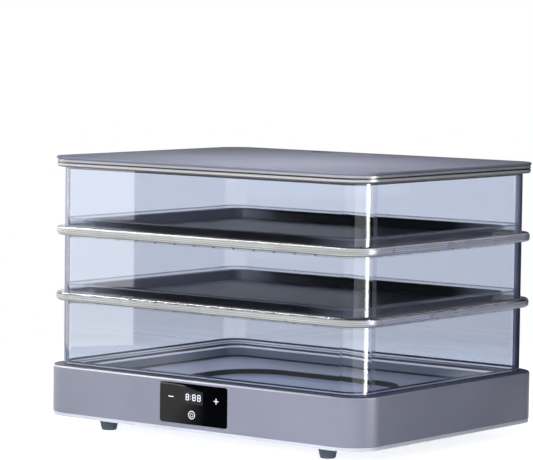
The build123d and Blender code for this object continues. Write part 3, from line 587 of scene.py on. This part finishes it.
def carry_round(bm, edges, half_x, half_y, corner):
    """Carries a profile from the front right corner all the way round and closes it."""
    reach_x, reach_y = half_x - corner, half_y - corner
    turns = [(reach_x, -reach_y), (reach_x, reach_y), (-reach_x, reach_y), (-reach_x, -reach_y)]
    runs = [(0, 2 * reach_y), (-2 * reach_x, 0), (0, -2 * reach_y), (2 * reach_x, 0)]
    for (x, y), (run_x, run_y) in zip(turns, runs):
        spun = bmesh.ops.spin(bm, geom=edges, cent=(x, y, 0), axis=(0, 0, 1), angle=pi / 2,
                              steps=10, use_merge=False, use_duplicate=False)
        edges = [e for e in spun["geom_last"] if isinstance(e, bmesh.types.BMEdge)]
        grown = bmesh.ops.extrude_edge_only(bm, edges=edges)["geom"]
        moved = only_verts(grown)
        bmesh.ops.translate(bm, vec=(run_x, run_y, 0), verts=moved)
        edges = [e for e in grown if isinstance(e, bmesh.types.BMEdge)
                 and e.verts[0] in moved and e.verts[1] in moved]
    bmesh.ops.remove_doubles(bm, verts=bm.verts, dist=1e-6)
    bmesh.ops.recalc_face_normals(bm, faces=bm.faces)


def new_piece(name, bm, material, body, smooth=True):
    """Makes the object, gives it its finish, and lets it ride on its body."""
    if bm.calc_volume(signed=True) < 0:
        bmesh.ops.reverse_faces(bm, faces=bm.faces)
    mesh = bpy.data.meshes.new(name)
    bm.to_mesh(mesh)
    bm.free()
    mesh.materials.append(material)
    if smooth:
        mesh.shade_smooth()
        mesh.set_sharp_from_angle(angle=radians(40))
    piece = bpy.data.objects.new(name, mesh)
    bpy.context.scene.collection.objects.link(piece)
    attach(piece, body)
    return piece


def bead(name, half_x, half_y, corner, height, radius, material, body):
    """A thin round bead along a rounded rectangle."""
    bm = bmesh.new()
    made = bmesh.ops.create_circle(bm, segments=10, radius=radius)["verts"]
    turn = Matrix.Translation((half_x - corner, -half_y, height)) @ Matrix.Rotation(pi / 2, 4, "Y")
    bmesh.ops.transform(bm, matrix=turn, verts=made)
    carry_round(bm, bm.edges[:], half_x, half_y, corner)
    return new_piece(name, bm, material, body)


# %% [markdown]
# ## Beads in the base
# Two bright beads run inside the base: one on the inner edge of the shell's channel and one on
# the liner's edge. Their near-white colour is a painted highlight for the bright lines that such
# round edges catch. Each lies half in the piece it edges, so only its round top shows.

# %% Bright beads in the base
# near white: a painted highlight on the beads' round edges
highlight_white_trim = moulded("highlight_white_trim", srgb(244, 245, 248), 0.2, specular=0.6)
LIP_INSIDE, LINER_INSIDE, LINER_CORNER = -4.9 * MM, -15.0 * MM, 20 * MM
liner_top = box["liner_rim"][1][2] / MM
for name, inset, corner, height, radius in (
        ("lip_bead", LIP_INSIDE + 0.3 * MM, CORNER + LIP_INSIDE + 0.3 * MM,
         (lip_top - 3.2) * MM, 1.1 * MM),
        ("liner_bead", LINER_INSIDE + 0.4 * MM, LINER_CORNER - 0.4 * MM,
         (liner_top - 0.4) * MM, 1.3 * MM)):
    made = bead(name, HALF_X + inset, HALF_Y + inset, corner, height, radius, highlight_white_trim, "base")
    print(name, len(made.data.polygons), "faces")

# %% [markdown]
# ## Beads on the frames and the trays
# The lip that holds a wall ends in a clear bead, and the sheet of a tray is rolled outward at
# its rim so that no sharp edge is left.

# %% Lip beads and rolled edges
tray_edge = moulded("tray_edge", srgb(30, 30, 32), 0.25, specular=0.5)
FRAME_LIP_INSET, ROLL_RADIUS, TRAY_CORNER = -3.8 * MM, 1.1 * MM, 20 * MM
for number in (1, 2):
    top = box[f"frame_{number}"][1][2]
    bead(f"frame_{number}_lip_bead", HALF_X + FRAME_LIP_INSET, HALF_Y + FRAME_LIP_INSET,
         CORNER + FRAME_LIP_INSET, top - 0.4 * MM, 0.7 * MM, clear_lip, f"frame_{number}")
    high = box[f"tray_{number}"][1]
    bead(f"tray_{number}_rolled_edge", high[0] - ROLL_RADIUS, high[1] - ROLL_RADIUS,
         TRAY_CORNER - ROLL_RADIUS, high[2] - ROLL_RADIUS, ROLL_RADIUS, tray_edge,
         f"tray_{number}")

# %% [markdown]
# ## The touch panel
# The panel is one black glass with its signs lit from behind: a minus, a plus, a power sign and
# a small display. The signs could be painted in the material, but thin pieces keep their edges
# crisp in a small picture. Each is a flat shape laid just in front of the glass.

# %% Flat shapes on the front
panel_low, panel_high = box["panel_glass"]
GLASS_Y = panel_low[1] + 0.12 * MM
SIGN_Y = GLASS_Y - 0.04 * MM
UPRIGHT = Matrix.Rotation(pi / 2, 4, "X")


def flat_plate(bm, x, z, width, height, corner, y=SIGN_Y):
    """A rounded plate that faces the front."""
    made = bmesh.ops.create_grid(bm, x_segments=1, y_segments=1, size=0.5)["verts"]
    place = Matrix.Translation((x, y, z)) @ UPRIGHT @ Matrix.Diagonal((width, height, 1, 1))
    bmesh.ops.transform(bm, matrix=place, verts=made)
    bmesh.ops.bevel(bm, geom=made, offset=corner, affect="VERTICES", segments=5, profile=0.5,
                    material=-1)


def thicken(bm, depth):
    """Gives every flat face a depth, away from the front."""
    made = bmesh.ops.extrude_face_region(bm, geom=bm.faces[:])["geom"]
    bmesh.ops.translate(bm, vec=(0, depth, 0), verts=only_verts(made))
    bmesh.ops.recalc_face_normals(bm, faces=bm.faces)


def lay_on_glass(name, bm, material, depth=0.03 * MM):
    """Finishes a window or a sign on the panel."""
    thicken(bm, depth)
    return new_piece(name, bm, material, "base", smooth=False)


# %% [markdown]
# ## The glass
# The loaded model has a plain slab for the glass. Real glass is ground round its front edge,
# and that edge is what catches the light, so the slab is redrawn with a small bevel and takes
# the plain one's place.

# %% Touch glass
panel_black = moulded("panel_black", srgb(5, 5, 7), 0.07, specular=0.35, depth=0.0, tone=0.3)
bm = bmesh.new()
flat_plate(bm, 0, (panel_low[2] + panel_high[2]) / 2, panel_high[0] - panel_low[0],
           panel_high[2] - panel_low[2], 3 * MM, GLASS_Y)
thicken(bm, panel_high[1] - GLASS_Y)
rim = [e for e in bm.edges if all(abs(v.co.y - GLASS_Y) < 1e-6 for v in e.verts)]
bmesh.ops.bevel(bm, geom=rim, offset=0.35 * MM, affect="EDGES", segments=3, profile=0.5,
                material=-1)
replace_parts(new_piece("touch_glass", bm, panel_black, "base"), "panel_glass")
print("glass", round((panel_high[0] - panel_low[0]) / MM, 1), "mm wide")

# %% [markdown]
# ## The display
# A grey window lies in the glass, and lit digits stand in it. Each eight is seven flat bars with
# a gap between them, as in a real seven-bar display. A little emission makes them glow without
# lighting what is round them.

# %% Window and digits
sign_white = new_material("sign_white", (0.6, 0.6, 0.62), 0.4)
vary_color(sign_white, noise(sign_white, 300.0, 1.0), (0.55, 0.56, 0.58), (0.66, 0.66, 0.68))
principled(sign_white).inputs["Emission Color"].default_value = (0.86, 0.90, 0.94, 1.0)
principled(sign_white).inputs["Emission Strength"].default_value = 0.75
window_grey = moulded("window_grey", srgb(50, 52, 54), 0.12, specular=0.3, depth=0.0)

DISPLAY_Z = (box["display_module"][0][2] + box["display_module"][1][2]) / 2
DIGIT_Y = SIGN_Y - 0.02 * MM
STROKE = 0.95 * MM
bm = bmesh.new()
flat_plate(bm, 0, DISPLAY_Z, 27.4 * MM, 15.5 * MM, 0.6 * MM)
lay_on_glass("display_window", bm, window_grey)


def digit_eight(bm, x, z, width=4.8 * MM, height=7.5 * MM):
    """The seven bars of a lit eight."""
    for row in (-1, 0, 1):
        flat_plate(bm, x, z + row * (height - STROKE) / 2, width - 1.6 * STROKE, STROKE,
                   0.35 * STROKE, DIGIT_Y)
    for side in (-1, 1):
        for row in (-1, 1):
            flat_plate(bm, x + side * (width - STROKE) / 2, z + row * (height - STROKE) / 4,
                       STROKE, (height - STROKE) / 2 - 0.25 * STROKE, 0.4 * STROKE, DIGIT_Y)


bm = bmesh.new()
for x in (-8.8, 0.8, 8.0):
    digit_eight(bm, x * MM, DISPLAY_Z + 0.1 * MM)
for z in (-1.4, 1.6):
    flat_plate(bm, -4.0 * MM, DISPLAY_Z + z * MM, 0.9 * MM, 0.9 * MM, 0.3 * MM, DIGIT_Y)
digits = lay_on_glass("display_digits", bm, sign_white, 0.02 * MM)
print("digits", len(digits.data.polygons), "faces")

# %% [markdown]
# ## The touch keys
# The keys don't move: each is only a lit sign that a finger touches. The power sign is a ring, an
# arc and a bar. An arc is one short edge spun about its centre.

# %% Minus, plus and power signs
KEY_X, KEY_Z = 32.8 * MM, 54.6 * MM
POWER_X, POWER_Z = -2.4 * MM, 36.0 * MM
SOFT_END = 0.3 * MM
bm = bmesh.new()
flat_plate(bm, -KEY_X, KEY_Z, 7.6 * MM, STROKE, SOFT_END)
lay_on_glass("minus_sign", bm, sign_white)
bm = bmesh.new()
flat_plate(bm, KEY_X, KEY_Z, 7.0 * MM, STROKE, SOFT_END)
for side in (-1, 1):
    flat_plate(bm, KEY_X, KEY_Z + side * 1.85 * MM, 1.1 * MM, 2.7 * MM, SOFT_END)
lay_on_glass("plus_sign", bm, sign_white)


def flat_ring(bm, x, z, outer, inner, angle=2 * pi, start=0.0):
    """A flat ring or arc, spun from one short edge."""
    turn = Matrix.Translation((x, SIGN_Y, z)) @ Matrix.Rotation(start, 4, "Y")
    ends = [bm.verts.new(turn @ Vector((radius, 0, 0))) for radius in (inner, outer)]
    edge = bm.edges.new(ends)
    bmesh.ops.spin(bm, geom=[edge, *ends], cent=(x, SIGN_Y, z), axis=(0, 1, 0), angle=angle,
                   steps=36, use_merge=angle == 2 * pi, use_duplicate=False)


bm = bmesh.new()
flat_ring(bm, POWER_X, POWER_Z, 4.8 * MM, 4.05 * MM)
flat_ring(bm, POWER_X, POWER_Z, 2.5 * MM, 1.95 * MM, radians(280), radians(-50))
flat_plate(bm, POWER_X, POWER_Z + 1.7 * MM, 0.55 * MM, 2.0 * MM, 0.2 * MM)
lay_on_glass("power_sign", bm, sign_white)

# %% [markdown]
# ## The studio's lamps
# Clear plastic has no look of its own: it shows what stands round it. So the lamps are of two
# kinds. Some only light the surfaces: a key near the camera, fills at the left and at the back,
# a narrow beam from above on the lid, and a small one inside, below the lower tray. Others are
# only mirrored: a soft box at the left is the pale sheen in the front walls, a strip high at the
# left draws thin lines along the rims, and three strips at the right, one behind another, draw
# one bright line with soft edges down the near corner.

# %% Lamps
def new_lamp(name, place, aim, power, width, height, seen_by):
    """A rectangular lamp, turned to what it lights, for diffuse or for glossy rays only."""
    lamp = bpy.data.lights.new(name, "AREA")
    lamp.shape = "RECTANGLE"
    lamp.energy = power
    lamp.size = width
    lamp.size_y = height
    piece = bpy.data.objects.new(name, lamp)
    bpy.context.scene.collection.objects.link(piece)
    turn = (Vector(aim) - Vector(place)).to_track_quat("-Z", "Y").to_matrix().to_4x4()
    piece.matrix_world = Matrix.Translation(place) @ turn
    piece.visible_camera = False
    piece.visible_transmission = False
    piece.visible_diffuse = seen_by == "diffuse"
    piece.visible_glossy = seen_by == "glossy"
    return piece


def new_soft_box(name, place, aim, brightness, width, height, seen_by="glossy"):
    """A lamp set by how bright it is to look at."""
    power = brightness * width * height * pi
    return new_lamp(name, place, aim, power, width, height, seen_by)


SOFT_BOX_X, SOFT_BOX_Y = -0.894, -0.530
LAMP_Z, LAMP_HEIGHT = 0.32, 0.66
STRIP_X, STRIP_Y, STRIP_GAP = 0.758, 0.015, 0.005
for name, brightness, seen_by in (("soft_box", 3.0, "glossy"), ("soft_fill", 2.2, "diffuse")):
    new_soft_box(name, (SOFT_BOX_X, SOFT_BOX_Y, LAMP_Z), (0.024, -0.003, LAMP_Z), brightness,
                 0.80, LAMP_HEIGHT, seen_by)
new_lamp("key", (0.80, -2.10, 0.62), (0, 0, 0.15), 39.0, 0.9, 0.9, "diffuse")
new_lamp("left_fill", (-1.5, 0.0, 0.3), (0, 0, 0.1), 12.0, 0.5, 0.5, "diffuse")
top = new_lamp("top", (0.06, -0.10, 2.3), (0.06, -0.10, 0.3), 0.48, 0.15, 0.15, "diffuse")
top.data.spread = radians(20)
for number, width, brightness in ((1, 0.17, 18.0), (2, 0.25, 5.0), (3, 0.34, 2.5)):
    new_soft_box(f"corner_strip_{number}", (STRIP_X + STRIP_GAP * number, STRIP_Y, LAMP_Z),
                 (0.213, STRIP_Y, LAMP_Z), brightness, width, LAMP_HEIGHT)
new_soft_box("edge_strip", (-0.60, -0.26, 0.95), (0.0, -0.17, 0.2), 34.0, 0.25, 1.0)
new_lamp("back_fill", (-0.3, 1.7, 0.5), (0, 0, 0.1), 9.0, 0.8, 0.6, "diffuse")
new_lamp("chamber_light", (0, 0, box["tray_1"][0][2] - 6 * MM), (0, 0, 0.05), 0.22, 0.34, 0.22,
         "diffuse")

# %% [markdown]
# ## What the cards are made of
# Dark cards stand where the front would mirror the white room, so that black stays black behind
# the clear walls. Only reflections may see them: for a ray that hasn't been mirrored yet, a card
# is transparent. The cards on the floor glow white left of a slanting line, so the left end of
# the base still has a pale floor to mirror.

# %% The cards' black
card_black = new_material("card_black", (0.012, 0.012, 0.016), 1.0, 0.0)
tree = card_black.node_tree
links = tree.links
place = split_axes(tree, object_place(tree))
aside = number_step(tree, "ADD", number_step(tree, "MULTIPLY", place["X"], 0.765),
                    number_step(tree, "MULTIPLY", place["Y"], -0.643))
left = spread_value(card_black, aside, 1.0, 0.0, 0.072, 0.125)
on_floor = spread_value(card_black, place["Z"], 1.0, 0.0, 0.01, 0.02)
principled(card_black).inputs["Emission Color"].default_value = (1.0, 1.0, 1.0, 1.0)
feed(card_black, "Emission Strength", both(card_black, left, on_floor))
mirrored = number_step(tree, "GREATER_THAN",
                       tree.nodes.new("ShaderNodeLightPath").outputs["Glossy Depth"], 0.5)
mix = tree.nodes.new("ShaderNodeMixShader")
links.new(mirrored, mix.inputs["Fac"])
links.new(tree.nodes.new("ShaderNodeBsdfTransparent").outputs["BSDF"], mix.inputs[1])
links.new(principled(card_black).outputs["BSDF"], mix.inputs[2])
links.new(mix.outputs["Shader"], tree.nodes["Material Output"].inputs["Surface"])
print("card nodes", len(tree.nodes))

# %% [markdown]
# ## Where the cards stand
# One card stands before the front and one lies on the floor below it, and the same pair serves
# the right side, where the standing card bends round the corner. Two narrow flags cross the
# soft box, and draw the dark bands that part its sheen.

# %% Dark cards
def dark_card(name, bm):
    """A black card that only reflections and refractions see."""
    mesh = bpy.data.meshes.new(name)
    bm.to_mesh(mesh)
    bm.free()
    mesh.materials.append(card_black)
    card = bpy.data.objects.new(name, mesh)
    bpy.context.scene.collection.objects.link(card)
    card.visible_camera = card.visible_diffuse = card.visible_shadow = False
    return card


def flat_card(name, low, high):
    """A card whose corners lie at low and high, flat along one axis."""
    low, high = Vector(low), Vector(high)
    bm = bmesh.new()
    made = bmesh.ops.create_grid(bm, x_segments=1, y_segments=1, size=0.5)["verts"]
    size = high - low
    if size.z:
        bmesh.ops.rotate(bm, verts=made, matrix=Matrix.Rotation(pi / 2, 3, "X"))
    bmesh.ops.scale(bm, vec=[length or 1.0 for length in size], verts=made)
    bmesh.ops.translate(bm, vec=(low + high) / 2, verts=made)
    return dark_card(name, bm)


FLOOR_CARD_Z = 0.002
flat_card("front_card", (-0.615, -0.767, 0.0), (0.60, -0.767, 0.55))
flat_card("front_floor_card", (-0.615, -0.767, FLOOR_CARD_Z), (0.60, -0.20, FLOOR_CARD_Z))
for number, low, high in ((1, 0.072, 0.095), (2, 0.166, 0.190)):
    bm = bmesh.new()
    ends = [bm.verts.new((SOFT_BOX_X + side * 0.30, SOFT_BOX_Y - side * 0.35, 0.0))
            for side in (-1, 1)]
    bar = bmesh.ops.extrude_edge_only(bm, edges=[bm.edges.new(ends)])["geom"]
    bmesh.ops.translate(bm, vec=(0, 0, high - low), verts=only_verts(bar))
    bmesh.ops.translate(bm, vec=(0.03, 0.02, low), verts=bm.verts)
    dark_card(f"flag_{number}", bm)
flat_card("right_floor_card", (0.25, -0.15, FLOOR_CARD_Z), (0.75, 0.75, FLOOR_CARD_Z))
bm = bmesh.new()
foot, head = [bm.verts.new((0.7, 0.15, z)) for z in (0.0, 0.5)]
bmesh.ops.spin(bm, geom=[foot, head, bm.edges.new((foot, head))], cent=(0.2, 0.15, 0),
               axis=(0, 0, 1), angle=radians(145), steps=30, use_merge=False,
               use_duplicate=False)
dark_card("right_card", bm)

# %% [markdown]
# ## The white surroundings
# A white room would wash out every dark surface, since its light comes from all sides. So the
# world is white only to rays that look at it, straight, mirrored or bent, and sends just a weak
# bluish light onto the surfaces. The lamps do the rest.

# %% World
LOOKING = ("Is Camera Ray", "Is Glossy Ray", "Is Transmission Ray")


def any_ray(tree, *kinds):
    """One where a ray is of any of the named kinds, else zero."""
    path = tree.nodes.new("ShaderNodeLightPath")
    result = path.outputs[kinds[0]]
    for kind in kinds[1:]:
        result = number_step(tree, "MAXIMUM", result, path.outputs[kind])
    return result


world = bpy.data.worlds.new("studio")
world.use_nodes = True
bpy.context.scene.world = world
tree = world.node_tree
fill = tree.nodes["Background"]
fill.inputs["Color"].default_value = (0.62, 0.68, 0.85, 1.0)
fill.inputs["Strength"].default_value = 0.12
white = tree.nodes.new("ShaderNodeBackground")
white.inputs["Color"].default_value = (1.0, 1.0, 1.0, 1.0)
white.inputs["Strength"].default_value = 1.0
mix = tree.nodes.new("ShaderNodeMixShader")
tree.links.new(any_ray(tree, *LOOKING), mix.inputs["Fac"])
tree.links.new(fill.outputs["Background"], mix.inputs[1])
tree.links.new(white.outputs["Background"], mix.inputs[2])
tree.links.new(mix.outputs["Shader"], tree.nodes["World Output"].inputs["Surface"])
print("world nodes", len(tree.nodes))

# %% [markdown]
# ## The floor
# The floor is a pale diffuse sheet, so it takes the object's shadow, plus a glow that only
# looking rays see. The glow rises with the distance from the object, which lets the white floor
# run into the white world with no horizon. Farther out the glow is all that is seen, so no lamp
# makes a patch of floor so bright that a clear wall before it loses its tint.

# %% Floor
FLOOR_SIZE = 12.0
floor_mesh = bpy.data.meshes.new("floor")
bm = bmesh.new()
bmesh.ops.create_grid(bm, x_segments=1, y_segments=1, size=FLOOR_SIZE)
bm.to_mesh(floor_mesh)
bm.free()
floor = bpy.data.objects.new("floor", floor_mesh)
bpy.context.scene.collection.objects.link(floor)
floor_white = new_material("floor_white", (0.62, 0.66, 0.76), 0.9, 0.0)
floor_mesh.materials.append(floor_white)
tree = floor_white.node_tree
links = tree.links
distance = vector_step(tree, "LENGTH", object_place(tree))
looking = any_ray(tree, *LOOKING)
glow = spread_value(floor_white, distance, 0.84, 1.0, 0.25, 0.8)
shine = tree.nodes.new("ShaderNodeEmission")
links.new(both(floor_white, glow, looking), shine.inputs["Strength"])
near = tree.nodes.new("ShaderNodeAddShader")
links.new(principled(floor_white).outputs["BSDF"], near.inputs[0])
links.new(shine.outputs["Emission"], near.inputs[1])
far = spread_value(floor_white, distance, 0.0, 1.0, 0.5, 1.0)
mix = tree.nodes.new("ShaderNodeMixShader")
links.new(both(floor_white, far, looking), mix.inputs["Fac"])
links.new(near.outputs["Shader"], mix.inputs[1])
links.new(shine.outputs["Emission"], mix.inputs[2])
links.new(mix.outputs["Shader"], tree.nodes["Material Output"].inputs["Surface"])
print("floor", 2 * FLOOR_SIZE, "m wide")
